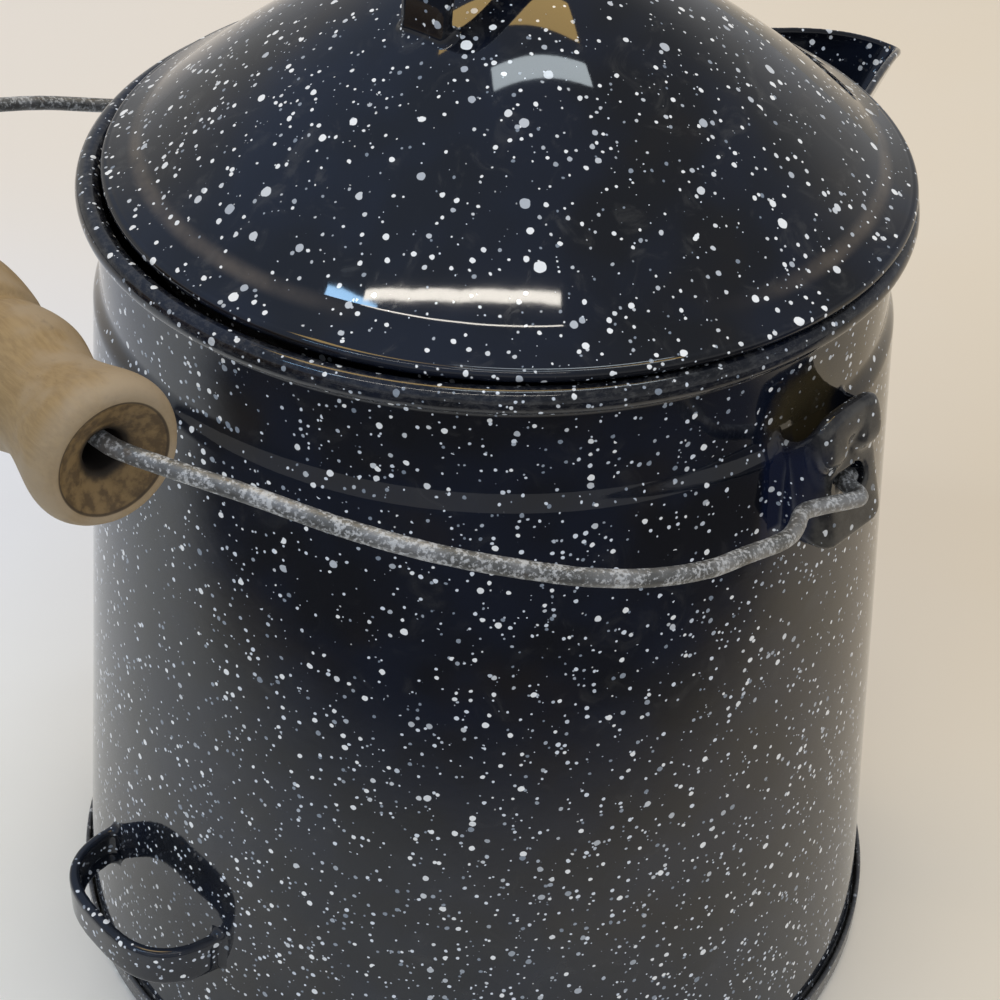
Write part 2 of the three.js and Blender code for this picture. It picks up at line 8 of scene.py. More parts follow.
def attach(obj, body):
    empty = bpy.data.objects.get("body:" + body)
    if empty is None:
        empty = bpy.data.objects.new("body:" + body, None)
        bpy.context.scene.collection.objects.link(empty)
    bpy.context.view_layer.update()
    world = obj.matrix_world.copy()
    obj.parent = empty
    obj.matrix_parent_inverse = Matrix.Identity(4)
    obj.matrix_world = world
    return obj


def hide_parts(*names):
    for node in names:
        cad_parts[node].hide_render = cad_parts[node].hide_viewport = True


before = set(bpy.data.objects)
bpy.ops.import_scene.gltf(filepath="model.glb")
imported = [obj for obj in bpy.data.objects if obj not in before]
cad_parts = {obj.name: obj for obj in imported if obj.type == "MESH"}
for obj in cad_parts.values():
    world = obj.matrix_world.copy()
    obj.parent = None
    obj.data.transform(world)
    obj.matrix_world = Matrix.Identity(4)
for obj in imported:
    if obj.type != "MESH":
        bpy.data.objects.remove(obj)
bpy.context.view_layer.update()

# Enamelled coffee pot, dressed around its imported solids.
# Sizes are in millimetres, except those of the lights and the camera's distance, in metres.
MM = 0.001

# Sizes of the pieces
SHEET = 1.2
SEAT_GAP = 0.3
RIM_Z = 216.0
RIM_ROLL_R = 2.9
NECK_R = 92.1
RIM_CENTRE_R = 93.1
SHOULDER_TOP_Z = 194.0
SHOULDER_BASE_Z = 187.0
SHOULDER_R = 94.2
BASE_WALL_R = 108.7
WALL_FOOT_Z = 1.5
WALL_FOOT_ROUND = 0.6
WALL_STEPS = 60
SHOULDER_STEPS = 24
NECK_HEIGHTS = [200.0, 206.0, 211.0]
BODY_WOBBLE = 0.12
SEAM_HEIGHT = 7.2
SEAM_CORNER_R = 1.6
PIVOT_X = 12.2
PIVOT_Z = 180.5
EAR_FACE_R = 104.5
EAR_ROOT_R = 89.5
EAR_DEPTH = 15.0
EAR_ROOT_HALF = 13.0
EAR_LEAN = math.radians(15)
EAR_TOP_Z = 198.5
EAR_FOOT_Z = 169.0
EAR_CORNER_R = 6.0
EAR_ROLL_R = 105.3
EAR_ROLL_DROP = 1.6
EAR_ROLL_SIZE = (10.8, 2.2, 3.6)
EAR_PATCH_ANGLE = 0.24
EAR_PATCH_LOW_Z = 158.0
EAR_PATCH_HIGH_Z = 206.0
LOBE_R = 105.4
LOBE_PLACES = (-6.0, 6.0)
LOBE_DROP = 9.8
LOBE_RISE = 1.6
LOBE_HALF = 4.6
LOBE_DEPTH = 2.2
SLOT_WIDTH = 12.0
SLOT_HEIGHT = 7.0
SLOT_CUT_R = (101.0, 109.0)
SPOUT_ROOT_R = 84.0
SPOUT_REACH = 55.8
SPOUT_TOP_Z = 213.0
SPOUT_START_Z = 137.4
SPOUT_HALF_WIDTH = 31.8
SPOUT_NOSE = 2.4 / 31.8
SPOUT_NOSE_POWER = 1.05
SPOUT_WIDTH_POWER = 0.72
SPOUT_REACH_POWER = 0.86
SPOUT_SPREAD = 1.4
SPOUT_START_SHARE = 0.05
SPOUT_ROWS = 70
SPOUT_HALF_COLUMNS = 50
SPOUT_HEM_R = 1.1
SPOUT_DROOP = 7.5
STRAP_SHEET = 1.3
STRAP_EDGE = 2.8
STRAP_FULLNESS = 2.75
TILT_Z = 44.0
TILT_WIDTH = 11.0
TILT_ROOT_R = 100.4
TILT_RISE = 24.6
TILT_HALF_SPAN = 24.7
TILT_SLACK = 1.2
TILT_PATCH_ANGLE = 0.32
TILT_PATCH_HALF = 14
KNOB_HALF_SPAN = 33.0
KNOB_RISE = 39.6
KNOB_SINK = 12.0
KNOB_LEAN = 1.5
KNOB_WIDTH = 12.5
KNOB_TURN = math.radians(11.5)
KNOB_PATCH_FROM = 22.0
KNOB_PATCH_TO = 42.0
KNOB_PATCH_HALF = 15.0
WIRE_R = 1.85
BAIL_REST_ANGLE = math.radians(16.7)
BAIL_REACH = 153.2
BAIL_STRAIGHT_HALF = 44.0
BAIL_LEG_R = 108.2
BAIL_BULGE = 11.8
BAIL_BEND_R = 3.3
HOOK_R = 99.6
HOOK_LENGTH = 5.4
BAIL_OUTLINE_SHARES = (
    (0.845, 0.123),
    (0.861, 0.154),
    (0.899, 0.184),
    (0.934, 0.217),
    (0.958, 0.258),
    (0.974, 0.326),
    (0.997, 0.418),
    (0.982, 0.509),
    (0.938, 0.584),
    (0.874, 0.646),
    (0.736, 0.744),
    (0.561, 0.826),
    (0.349, 0.897),
    (0.171, 0.96),
    (0.072, 0.992),
    (0.0, 1.0),
)
GRIP_LENGTH = 100.0
GRIP_R = 16.0
GRIP_BORE_R = 4.1
GRIP_DISH_R = 11.4
GRIP_DISH_DEPTH = 4.2
GRIP_DROP = 1.95
GRIP_PROFILE_SHARES = (
    (-1.0, 0.85),
    (-0.88, 0.96),
    (-0.55, 0.74),
    (-0.22, 0.95),
    (0.04, 0.885),
    (0.11, 0.765),
    (0.19, 0.83),
    (0.36, 0.88),
    (0.58, 0.74),
    (0.87, 0.95),
    (0.97, 0.90),
    (1.0, 0.86),
)
LID_OFF_BY = 2.6
LID_OFF_TOWARDS = math.radians(-37)
LID_SHIFT = Vector(
    (LID_OFF_BY * math.cos(LID_OFF_TOWARDS), LID_OFF_BY * math.sin(LID_OFF_TOWARDS), 0.0)
)
LID_EDGE_R = 92.6
LID_ROLL_R = 1.4
LID_ROLL_Z = 220.6
LID_FLANGE_KNOTS = (
    (90.5, 222.4),
    (89.6, 222.85),
    (88.3, 223.53),
    (86.8, 224.36),
    (85.3, 225.21),
    (84.25, 225.83),
)
LID_GROOVE_R = 84.5
LID_DOME_R = 82.8
LID_DOME_Z = 227.0
LID_TOP_Z = 270.4
LID_DOME_POWER = 1.6
LID_DOME_STEPS = 72
LID_WOBBLE = 0.06
COLLAR_R = 85.4
COLLAR_LOW_Z = 208.5
COLLAR_LIP = 2.6
STRAINER_TOP_Z = 202.0
STRAINER_PITCH = 8.0
STRAINER_HOLE_R = 2.3
STRAINER_ROWS = (5, 4, 3, 2, 1)

# Fineness of the meshes
ROUND_STEPS = 288
GRIP_ROUND_STEPS = 96
WIRE_ROUND_STEPS = 20
PATCH_STEPS = 30
SKIN_VOXEL = 0.4

# How the enamel fills inner corners, and the thin sheet hidden in the wall or dome under each fill
ENAMEL_FILL = 1.6
HANDLE_FILL = 1.5
EAR_FILL = 2.1
EAR_SMOOTHING = 18
HIDDEN_OUTER = -0.15
HIDDEN_INNER = -1.05
HIDDEN_UNDER_DOME = -1.1
SUNK = 0.9

# Meshes


def mesh_object(name, points, faces):
    """A smooth-shaded mesh from points in millimetres."""
    mesh = bpy.data.meshes.new(name)
    mesh.from_pydata([Vector(p) * MM for p in points], [], faces)
    mesh.validate()
    mesh.shade_smooth()
    made = bpy.data.objects.new(name, mesh)
    bpy.context.scene.collection.objects.link(made)
    return made


def applied(piece):
    """The piece with its modifiers baked into its mesh."""
    graph = bpy.context.evaluated_depsgraph_get()
    mesh = bpy.data.meshes.new_from_object(piece.evaluated_get(graph))
    piece.modifiers.clear()
    piece.data = mesh
    mesh.shade_smooth()
    return piece


def arc(x, z, radius, start, stop, steps):
    """Points of an arc, with its angles in degrees."""
    turns = [math.radians(start + (stop - start) * i / steps) for i in range(steps + 1)]
    return [(x + radius * math.cos(a), z + radius * math.sin(a)) for a in turns]


def line(first, last, steps):
    """Evenly spaced points from the first towards the last, which is left out."""
    return [
        tuple(a + (b - a) * i / steps for a, b in zip(first, last)) for i in range(steps)
    ]


def offset(points, distance):
    """A line of points moved to its left by a distance."""
    moved = []
    for i, (x, z) in enumerate(points):
        ax, az = points[max(0, i - 1)]
        bx, bz = points[min(len(points) - 1, i + 1)]
        length = math.hypot(bx - ax, bz - az)
        moved.append((x - distance * (bz - az) / length, z + distance * (bx - ax) / length))
    return moved


def lathed(name, profile, steps=ROUND_STEPS, wobble=0.0):
    """A closed profile of (radius, height) turned about Z, with a slow waviness of a given size."""
    points = []
    rings = []
    for r, z in profile:
        if r < 1e-6:
            rings.append([len(points)])
            points.append((0.0, 0.0, z))
            continue
        rings.append(list(range(len(points), len(points) + steps)))
        for k in range(steps):
            a = 2 * math.pi * k / steps
            x, y = math.cos(a), math.sin(a)
            swell = wobble * noise.noise(Vector((1.3 * x, 1.3 * y, z / 70)))
            points.append(((r + swell) * x, (r + swell) * y, z))
    faces = []
    pairs = list(zip(rings, rings[1:]))
    if len(rings[0]) > 1 and len(rings[-1]) > 1:
        pairs.append((rings[-1], rings[0]))
    for low, high in pairs:
        for k in range(steps):
            n = (k + 1) % steps
            if len(low) == 1 and len(high) == 1:
                continue
            if len(low) == 1:
                faces.append((low[0], high[n], high[k]))
            elif len(high) == 1:
                faces.append((low[k], low[n], high[0]))
            else:
                faces.append((low[k], low[n], high[n], high[k]))
    return mesh_object(name, points, faces)


def slab(upper, lower):
    """Points and faces of a closed sheet between two like grids of points."""
    rows, columns = len(upper), len(upper[0])
    count = rows * columns
    points = [p for grid in (upper, lower) for row in grid for p in row]
    faces = []
    for i in range(rows - 1):
        for j in range(columns - 1):
            a = i * columns + j
            face = (a, a + 1, a + 1 + columns, a + columns)
            faces += [face, tuple(k + count for k in reversed(face))]
    border = list(range(columns))
    border += [i * columns + columns - 1 for i in range(1, rows)]
    border += [(rows - 1) * columns + j for j in reversed(range(columns - 1))]
    border += [i * columns for i in reversed(range(1, rows - 1))]
    for a, b in zip(border, border[1:] + border[:1]):
        faces.append((a, a + count, b + count, b))
    return points, faces


def tube(rings):
    """Points and faces of a closed skin through a row of like rings."""
    count = len(rings[0])
    points = [p for ring in rings for p in ring]
    faces = [tuple(reversed(range(count))), tuple(range(len(points) - count, len(points)))]
    for low in range(0, len(points) - count, count):
        for k in range(count):
            n = (k + 1) % count
            faces.append((low + k, low + n, low + count + n, low + count + k))
    return points, faces


def skin(name, parts, fill=ENAMEL_FILL, smoothing=6):
    """One skin over several closed parts, its inner corners filled as by a coat of enamel."""
    points, faces = [], []
    for part_points, part_faces in parts:
        faces += [tuple(k + len(points) for k in face) for face in part_faces]
        points += part_points
    made = mesh_object(name, points, faces)
    for grow in (0.0, fill, -fill):
        if grow:
            swell = made.modifiers.new("swell", "DISPLACE")
            swell.mid_level = 0.0
            swell.strength = grow * MM
        remesh = made.modifiers.new("remesh", "REMESH")
        remesh.mode = "VOXEL"
        remesh.voxel_size = SKIN_VOXEL * MM
    soften = made.modifiers.new("soften", "SMOOTH")
    soften.factor = 0.5
    soften.iterations = smoothing
    return applied(made)


def spline(knots, steps):
    """Evenly spread points on a smooth curve through the knots."""
    fine = []
    for i in range(len(knots) - 1):
        p0 = knots[max(0, i - 1)]
        p1, p2 = knots[i], knots[i + 1]
        p3 = knots[min(len(knots) - 1, i + 2)]
        for k in range(40):
            t = k / 40
            point = []
            for a, b, c, d in zip(p0, p1, p2, p3):
                u, v = (c - a) / 2, (d - b) / 2
                point.append(
                    (2 * b - 2 * c + u + v) * t**3 + (-3 * b + 3 * c - 2 * u - v) * t**2 + u * t + b
                )
            fine.append(point)
    fine.append(list(knots[-1]))
    reach = [0.0]
    for a, b in zip(fine, fine[1:]):
        reach.append(reach[-1] + math.dist(a, b))
    points = []
    k = 0
    for i in range(steps + 1):
        want = reach[-1] * i / steps
        while k < len(reach) - 2 and reach[k + 1] < want:
            k += 1
        t = (want - reach[k]) / (reach[k + 1] - reach[k])
        points.append(tuple(a + (b - a) * t for a, b in zip(fine[k], fine[k + 1])))
    return points


def wall_radius(z):
    """The outside of the body at a height, below the rim."""
    if z <= SHOULDER_BASE_Z:
        share = (z - WALL_FOOT_Z) / (SHOULDER_BASE_Z - WALL_FOOT_Z)
        return BASE_WALL_R + (SHOULDER_R - BASE_WALL_R) * share
    share = min(1.0, (z - SHOULDER_BASE_Z) / (SHOULDER_TOP_Z - SHOULDER_BASE_Z))
    return SHOULDER_R + (NECK_R - SHOULDER_R) * share * share * (3 - 2 * share)


# Pieces


def body():
    foot = WALL_FOOT_Z + WALL_FOOT_ROUND
    heights = [foot + (SHOULDER_BASE_Z - 3) * i / WALL_STEPS for i in range(WALL_STEPS)]
    heights += [185.0 + 11.0 * i / SHOULDER_STEPS for i in range(SHOULDER_STEPS + 1)]
    heights += NECK_HEIGHTS
    outside = arc(BASE_WALL_R - WALL_FOOT_ROUND, foot, WALL_FOOT_ROUND, -90, 0, 5)[:-1]
    outside += [(wall_radius(z), z) for z in heights]
    outside += [(NECK_R + 0.15, RIM_Z - RIM_ROLL_R + 0.2)]
    outside += arc(RIM_CENTRE_R, RIM_Z, RIM_ROLL_R, -96, 180, 40)
    inside = [(NECK_R - SHEET - 0.35, RIM_Z - 0.9), (NECK_R - SHEET, RIM_Z - 1.8)]
    inside += [(wall_radius(z) - SHEET, z) for z in reversed(heights)]
    inside += arc(BASE_WALL_R - SHEET + 0.55, WALL_FOOT_Z + 0.55, 0.55, 180, 270, 4)
    made = lathed("pot_body", outside + inside, wobble=BODY_WOBBLE)
    cutters = []
    for row, count in enumerate(STRAINER_ROWS):
        for i in range(count):
            turn = (i - (count - 1) / 2) * STRAINER_PITCH / SHOULDER_R
            height = STRAINER_TOP_Z - row * STRAINER_PITCH
            place = Matrix.Rotation(turn, 4, "Z") @ Matrix.Translation(
                (SHOULDER_R * MM, 0, height * MM)
            )
            bpy.ops.mesh.primitive_cylinder_add(
                vertices=24, radius=STRAINER_HOLE_R * MM, depth=10 * MM
            )
            cutter = bpy.context.object
            cutter.matrix_world = place @ Matrix.Rotation(math.pi / 2, 4, "Y")
            cutters.append(cutter)
    for cutter in cutters[1:]:
        cutter.select_set(True)
    cutters[0].select_set(True)
    bpy.context.view_layer.objects.active = cutters[0]
    bpy.ops.object.join()
    holes = cutters[0]
    cut = made.modifiers.new("holes", "BOOLEAN")
    cut.operation = "DIFFERENCE"
    cut.solver = "EXACT"
    cut.object = holes
    applied(made)
    bpy.data.objects.remove(holes)
    return made


def pan():
    inner = BASE_WALL_R + SEAT_GAP
    outer = inner + SHEET
    profile = [(0.0, 0.0), (40.0, 0.0), (80.0, 0.0)]
    profile += arc(outer - SEAM_CORNER_R, SEAM_CORNER_R, SEAM_CORNER_R, -90, 0, 10)
    profile += arc(outer - SHEET / 2, SEAM_HEIGHT - SHEET / 2, SHEET / 2, 0, 180, 12)
    profile += [(inner, SHEET + 0.5), (inner - 0.5, SHEET), (60.0, SHEET), (0.0, SHEET)]
    return lathed("pot_bottom", profile)


def lid_line():
    """The lid's outer line, from the top of its rolled edge over flange and dome to its middle."""
    flange = spline([(LID_EDGE_R - LID_ROLL_R, LID_ROLL_Z + LID_ROLL_R), *LID_FLANGE_KNOTS], 60)
    dome = []
    for i in range(LID_DOME_STEPS):
        share = math.cos(math.pi / 2 * i / LID_DOME_STEPS)
        rise = (LID_TOP_Z - LID_DOME_Z) * (1 - share**LID_DOME_POWER)
        dome.append((LID_DOME_R * share, LID_DOME_Z + rise))
    return flange + dome + [(0.0, LID_TOP_Z)]


def lid():
    outside = lid_line()
    inside = offset(outside, SHEET)
    inside[-1] = (0.0, LID_TOP_Z - SHEET)
    roll = arc(LID_EDGE_R - LID_ROLL_R, LID_ROLL_Z, LID_ROLL_R, -200, 75, 24)
    profile = list(reversed(inside)) + roll + outside[1:]
    made = lathed("lid_dome", profile, wobble=LID_WOBBLE)
    made.location = LID_SHIFT * MM
    return made


def collar():
    inner = COLLAR_R - SHEET
    under = offset(lid_line(), SHEET + SEAT_GAP)
    below = offset(lid_line(), 2 * SHEET + SEAT_GAP)
    reach = COLLAR_R + COLLAR_LIP
    top = [p for p in under if inner <= p[0] <= reach]
    low = [p for p in below if COLLAR_R + 0.4 <= p[0] <= reach]
    profile = arc(COLLAR_R - SHEET / 2, COLLAR_LOW_Z + SHEET / 2, SHEET / 2, 180, 360, 10)
    profile += list(reversed(low)) + top
    made = lathed("lid_collar_ring", profile)
    made.location = LID_SHIFT * MM
    return made


def power(value, exponent):
    return math.copysign(abs(value) ** exponent, value)


def on_wall(angle, z, grow):
    """A point given by its angle in radians, its height and its distance out from the wall."""
    r = wall_radius(z) + grow
    return (r * math.cos(angle), r * math.sin(angle), z)


def wall_patch(half_angle, low_z, high_z, rows=PATCH_STEPS):
    """A thin sheet hidden in the wall, on which a piece's fillet stands."""
    angles = [-half_angle + 2 * half_angle * i / PATCH_STEPS for i in range(PATCH_STEPS + 1)]
    heights = [low_z + (high_z - low_z) * j / rows for j in range(rows + 1)]
    grids = [
        [[on_wall(angle, z, grow) for z in heights] for angle in angles]
        for grow in (HIDDEN_OUTER, HIDDEN_INNER)
    ]
    return slab(*grids)


def held_out(point):
    """The point, or if it lies deep in the wall, the place straight outwards in its sheet."""
    x, y, z = point
    least = wall_radius(z) - SUNK
    r = math.hypot(x, y)
    return point if r >= least else (x * least / r, y * least / r, z)


def spout_grid(inset, least):
    """One side of the folded lip, from its start on the wall up to its edge."""
    grid = []
    nose_length = math.hypot(1, SPOUT_NOSE) - SPOUT_NOSE
    for i in range(SPOUT_ROWS + 1):
        share = SPOUT_START_SHARE + (1 - SPOUT_START_SHARE) * i / SPOUT_ROWS
        full_width = SPOUT_HALF_WIDTH * share**SPOUT_WIDTH_POWER
        full_reach = SPOUT_REACH * share**SPOUT_REACH_POWER
        slant = math.hypot(full_width, full_reach)
        width = full_width - inset * slant / full_reach
        reach = full_reach - inset * slant / full_width
        row = []
        for k in range(-SPOUT_HALF_COLUMNS, SPOUT_HALF_COLUMNS + 1):
            across = power(k / SPOUT_HALF_COLUMNS, SPOUT_SPREAD)
            nosed = (math.hypot(across, SPOUT_NOSE) - SPOUT_NOSE) / nose_length
            x = SPOUT_ROOT_R + reach * (1 - nosed**SPOUT_NOSE_POWER)
            y = width * across
            z = SPOUT_START_Z + (SPOUT_TOP_Z - SPOUT_START_Z) * share
            z -= SPOUT_DROOP * ((x - SPOUT_ROOT_R) / SPOUT_REACH) ** 4
            r = math.hypot(x, y)
            held = max(r, wall_radius(z) + least)
            row.append((x * held / r, y * held / r, z))
        grid.append(row)
    return grid


def spout():
    middle = [Vector(p) for p in spout_grid(SHEET / 2, -20.0)[-1]]
    middle = [p for p in middle if math.hypot(p.x, p.y) > NECK_R - 0.6]
    rings = []
    for i, centre in enumerate(middle):
        ahead = (middle[min(i + 1, len(middle) - 1)] - middle[max(i - 1, 0)]).normalized()
        side = ahead.cross(Vector((0, 0, 1))).normalized()
        above = side.cross(ahead)
        ring = []
        for k in range(14):
            a = 2 * math.pi * k / 14
            out = side * math.cos(a) + above * math.sin(a)
            ring.append(tuple(centre + SPOUT_HEM_R * out))
        rings.append(ring)
    sheet = slab(spout_grid(0.0, HIDDEN_OUTER), spout_grid(SHEET, HIDDEN_INNER))
    return skin("pouring_lip", [sheet, tube(rings)])


def leaned(point):
    """A point of the ear tipped in towards the neck about the wire's height on its face."""
    x, y, z = point
    out, up = x - EAR_FACE_R, z - PIVOT_Z
    cos, sin = math.cos(EAR_LEAN), math.sin(EAR_LEAN)
    return (EAR_FACE_R + out * cos - up * sin, y, PIVOT_Z + out * sin + up * cos)


def ear_sheet():
    """Face and webs in one bent sheet, with rounded corners and the wire's slot in the face."""
    plan = []
    for i in range(73):
        a = -math.pi / 2 + math.pi * i / 72
        out = power(max(0.0, math.cos(a)), 1 / 3)
        plan.append((EAR_ROOT_R + EAR_DEPTH * out, EAR_ROOT_HALF * power(math.sin(a), 1 / 3)))
    grids = []
    for line_points in (plan, offset(plan, SHEET)):
        grid = []
        for x, y in line_points:
            over = min(EAR_CORNER_R, max(0.0, abs(y) - (EAR_ROOT_HALF - EAR_CORNER_R)))
            cut = EAR_CORNER_R - math.sqrt(EAR_CORNER_R**2 - over**2)
            low, high = EAR_FOOT_Z + cut, EAR_TOP_Z - cut
            heights = [low + (high - low) * j / 40 for j in range(41)]
            grid.append([held_out(leaned((x, y, z))) for z in heights])
        grids.append(grid)
    sheet = mesh_object("ear_sheet", *slab(*grids))
    half = SLOT_WIDTH / 2 - SLOT_HEIGHT / 2
    middle = PIVOT_Z - WIRE_R - SEAT_GAP + SLOT_HEIGHT / 2
    outline = [(half + y, z) for y, z in arc(0, 0, SLOT_HEIGHT / 2, -90, 90, 12)]
    outline += [(y - half, z) for y, z in arc(0, 0, SLOT_HEIGHT / 2, 90, 270, 12)]
    rings = [[leaned((x, y, middle + z)) for y, z in outline] for x in SLOT_CUT_R]
    cutter = mesh_object("slot_cutter", *tube(rings))
    for piece in (sheet, cutter):
        shell = bmesh.new()
        shell.from_mesh(piece.data)
        bmesh.ops.recalc_face_normals(shell, faces=shell.faces)
        shell.to_mesh(piece.data)
        shell.free()
    cut = sheet.modifiers.new("slot", "BOOLEAN")
    cut.operation = "DIFFERENCE"
    cut.solver = "EXACT"
    cut.object = cutter
    applied(sheet)
    points = [tuple(v.co / MM) for v in sheet.data.vertices]
    faces = [tuple(p.vertices) for p in sheet.data.polygons]
    bpy.data.objects.remove(sheet)
    bpy.data.objects.remove(cutter)
    return points, faces


def pillow(centre, across, out, up):
    """A soft rounded block of the ear's rolled edge, given by its centre and its half sizes."""
    x, y, z = centre
    rings = []
    for i in range(1, 24):
        v = -math.pi / 2 + math.pi * i / 24
        ring = []
        for k in range(32):
            a = 2 * math.pi * k / 32
            wide = across * power(math.cos(v), 0.6) * power(math.cos(a), 0.6)
            deep = out * power(math.cos(v), 0.6) * power(math.sin(a), 0.85)
            ring.append(leaned((x + deep, y + wide, z + up * power(math.sin(v), 0.7))))
        rings.append(ring)
    return tube(rings)


def ear(name, side):
    patch = wall_patch(EAR_PATCH_ANGLE, EAR_PATCH_LOW_Z, EAR_PATCH_HIGH_Z, rows=60)
    roll = pillow((EAR_ROLL_R, 0.0, EAR_TOP_Z - EAR_ROLL_DROP), *EAR_ROLL_SIZE)
    low, high = EAR_TOP_Z - LOBE_DROP, EAR_TOP_Z + LOBE_RISE
    middle, half = (low + high) / 2, (high - low) / 2
    lobes = [pillow((LOBE_R, place, middle), LOBE_HALF, LOBE_DEPTH, half) for place in LOBE_PLACES]
    parts = [ear_sheet(), roll, *lobes, patch]
    made = skin(name, parts, fill=EAR_FILL, smoothing=EAR_SMOOTHING)
    made.data.transform(Matrix.Rotation(side * math.acos(PIVOT_X / EAR_FACE_R), 4, "Z"))
    return made


def strap_line(half_span, rise):
    """The outer line of a handle's strap from foot to foot, as (out from root, along root)."""
    points = []
    for i in range(161):
        a = -math.pi / 2 + math.pi * i / 160
        out = rise * power(max(0.0, math.cos(a)), 2 / STRAP_FULLNESS)
        points.append((out, half_span * power(math.sin(a), 2 / STRAP_FULLNESS)))
    return points


def channel(line_points, width, place):
    """A channel strap along a line, its long edges turned inwards and each point put in place."""
    inner = offset(line_points, 1.0)
    half = width / 2
    section = [(-half, STRAP_EDGE)] + [(y, z) for y, z in arc(-half + 1, 1, 1, 180, 270, 5)]
    section += [(y, z) for y, z in arc(half - 1, 1, 1, -90, 0, 5)] + [(half, STRAP_EDGE)]
    section += [(half - STRAP_SHEET, STRAP_EDGE), (half - STRAP_SHEET, STRAP_SHEET)]
    section += [(STRAP_SHEET - half, STRAP_SHEET), (STRAP_SHEET - half, STRAP_EDGE)]
    rings = []
    for (out, along), (inner_out, inner_along) in zip(line_points, inner):
        ring = []
        for across, deep in section:
            deep_out = out + (inner_out - out) * deep
            deep_along = along + (inner_along - along) * deep
            ring.append(place(deep_out, deep_along, across))
        rings.append(ring)
    return tube(rings)


def tilt_handle():
    strap = channel(
        strap_line(TILT_HALF_SPAN, TILT_RISE - TILT_SLACK),
        TILT_WIDTH,
        lambda out, along, across: held_out((TILT_ROOT_R + out, along, TILT_Z + across)),
    )
    patch = wall_patch(TILT_PATCH_ANGLE, TILT_Z - TILT_PATCH_HALF, TILT_Z + TILT_PATCH_HALF)
    made = skin("tilt_strap", [strap, patch], fill=HANDLE_FILL)
    made.data.transform(Matrix.Rotation(math.pi, 4, "Z"))
    return made


def dome_z(x, y):
    share = min(1.0, math.hypot(x, y) / LID_DOME_R)
    return LID_DOME_Z + (LID_TOP_Z - LID_DOME_Z) * (1 - share**LID_DOME_POWER)


def dome_patch(low_x, high_x, half_y):
    """A thin sheet hidden in the dome, on which the handle's fillet stands."""
    xs = [low_x + (high_x - low_x) * i / 32 for i in range(33)]
    ys = [half_y * (2 * j / 24 - 1) for j in range(25)]
    grids = [
        [[(x, y, dome_z(x, y) + grow) for y in ys] for x in xs]
        for grow in (HIDDEN_OUTER, HIDDEN_UNDER_DOME)
    ]
    return slab(*grids)


def lid_handle():
    def place(out, along, across):
        z = LID_TOP_Z - KNOB_SINK + out
        return (along, across, max(z, dome_z(along, across) - SUNK))

    leaning = [
        (out, along * (1 - KNOB_LEAN / KNOB_HALF_SPAN * out / KNOB_RISE))
        for out, along in strap_line(KNOB_HALF_SPAN, KNOB_RISE)
    ]
    parts = [channel(leaning, KNOB_WIDTH, place)]
    for side in (-1, 1):
        parts.append(dome_patch(side * KNOB_PATCH_FROM, side * KNOB_PATCH_TO, KNOB_PATCH_HALF))
    made = skin("lid_strap", parts, fill=HANDLE_FILL)
    made.data.transform(Matrix.Rotation(KNOB_TURN, 4, "Z"))
    made.location = LID_SHIFT * MM
    return made


def bail_line():
    way = BAIL_LEG_R + BAIL_BULGE - BAIL_STRAIGHT_HALF
    knots = [(BAIL_LEG_R, BAIL_BEND_R)]
    knots += [(BAIL_STRAIGHT_HALF + out * way, up * BAIL_REACH) for out, up in BAIL_OUTLINE_SHARES]
    half = line((HOOK_R, -HOOK_LENGTH), (HOOK_R, -BAIL_BEND_R), 3)
    half += arc(HOOK_R + BAIL_BEND_R, -BAIL_BEND_R, BAIL_BEND_R, 180, 90, 10)
    half += arc(BAIL_LEG_R - BAIL_BEND_R, BAIL_BEND_R, BAIL_BEND_R, -90, 0, 10)
    half += spline(knots, 110)[1:]
    half += line((BAIL_STRAIGHT_HALF, BAIL_REACH), (0.0, BAIL_REACH), 24)[1:]
    return half + [(0.0, BAIL_REACH)] + [(-x, z) for x, z in reversed(half)]


def bail():
    path = bail_line()
    side = offset(path, 1.0)
    points = []
    faces = []
    count = WIRE_ROUND_STEPS
    for i, ((across, up), (ax, az)) in enumerate(zip(path, side)):
        for k in range(count):
            a = 2 * math.pi * k / count
            lump = 0.045 * noise.noise(Vector((across / 2.2, up / 2.2, 3 * math.sin(a))))
            r = WIRE_R - 0.04 + lump
            x = across + (ax - across) * r * math.cos(a)
            v = up + (az - up) * r * math.cos(a)
            points.append((x, v, r * math.sin(a)))
        if i:
            for k in range(count):
                n = (k + 1) % count
                low = (i - 1) * count
                faces.append((low + k, low + n, low + count + n, low + count + k))
    for start, ring in ((0, range(count)), (len(points) - count, reversed(range(count)))):
        faces.append(tuple(start + k for k in ring))
    cos, sin = math.cos(BAIL_REST_ANGLE), math.sin(BAIL_REST_ANGLE)
    placed = [(PIVOT_X - v * cos - w * sin, u, PIVOT_Z + v * sin - w * cos) for u, v, w in points]
    return mesh_object("bail_rod", placed, faces)


